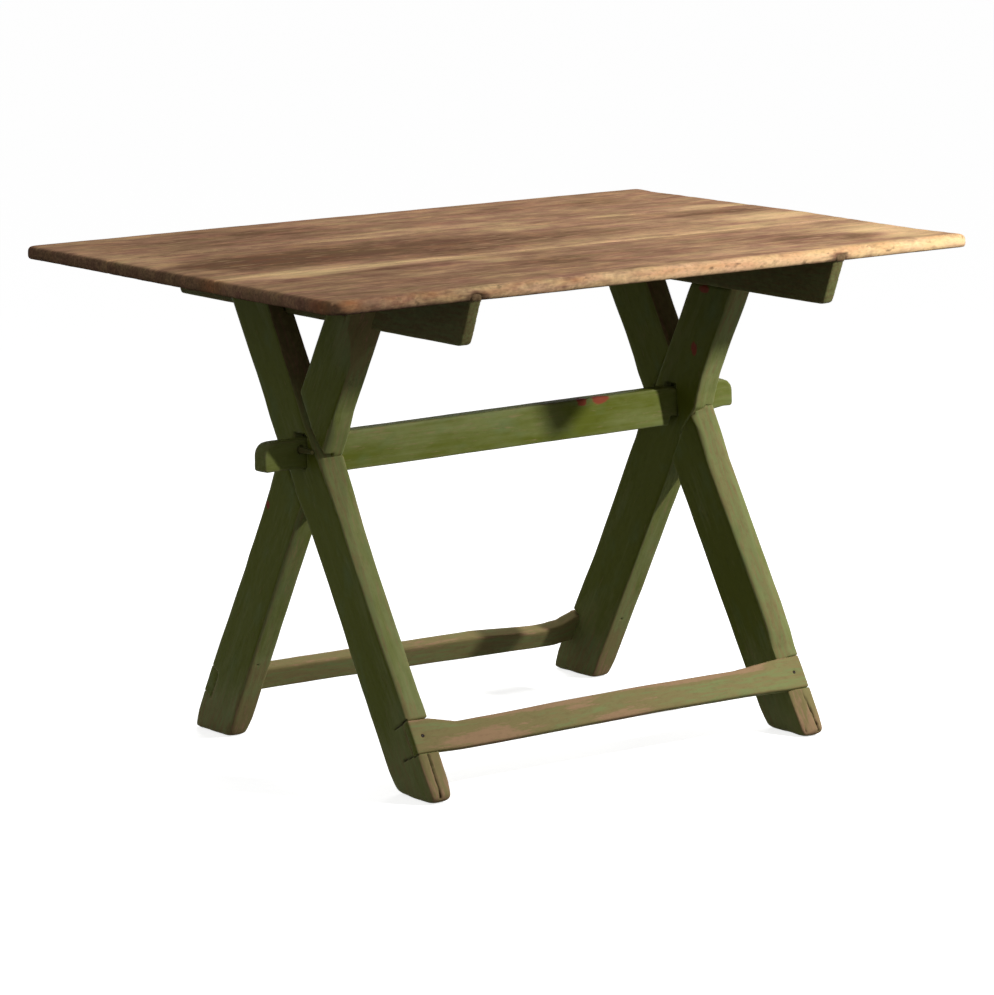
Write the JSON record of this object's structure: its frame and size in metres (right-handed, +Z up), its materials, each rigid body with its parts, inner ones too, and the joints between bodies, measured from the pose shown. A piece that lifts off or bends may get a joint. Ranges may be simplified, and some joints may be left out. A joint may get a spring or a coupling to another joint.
{
  "type": "sawbuck table",
  "caption": "Worn wooden sawbuck table: a plank top on crossed trestle legs, tied by a pegged through-tenon centre rail and low foot rails.",
  "frame": {"origin": "on the floor, below the middle of the top", "axes": "+X along the table to its right end, +Y to the back, +Z up"},
  "size_m": [1.119, 0.838, 0.745],
  "materials": {
    "bare_wood": "worn bare softwood",
    "painted_wood": "old worn green paint",
    "peg_wood": "whittled hardwood",
    "iron": "rusty forged iron"
  },
  "bodies": {
    "table": {"top_board_back": "bare_wood", "top_board_middle": "bare_wood", "top_board_front": "bare_wood", "left_batten": "painted_wood", "right_batten": "painted_wood", "left_front_leg": "painted_wood", "left_back_leg": "painted_wood", "right_front_leg": "painted_wood", "right_back_leg": "painted_wood", "centre_rail": "painted_wood", "front_foot_rail": "painted_wood", "back_foot_rail": "painted_wood", "front_rail_nails": "iron", "back_rail_nails": "iron", "left_batten_nails": "iron", "right_batten_nails": "iron"},
    "left_peg": {"left_locking_peg": "peg_wood"},
    "right_peg": {"right_locking_peg": "peg_wood"}
  },
  "joints": [
    {"name": "left_peg_slide", "type": "slide", "parent": "table", "child": "left_peg", "axis": [0, -1, 0], "range_m": [0, 0.045]},
    {"name": "right_peg_slide", "type": "slide", "parent": "table", "child": "right_peg", "axis": [0, -1, 0], "range_m": [0, 0.045]}
  ]
}
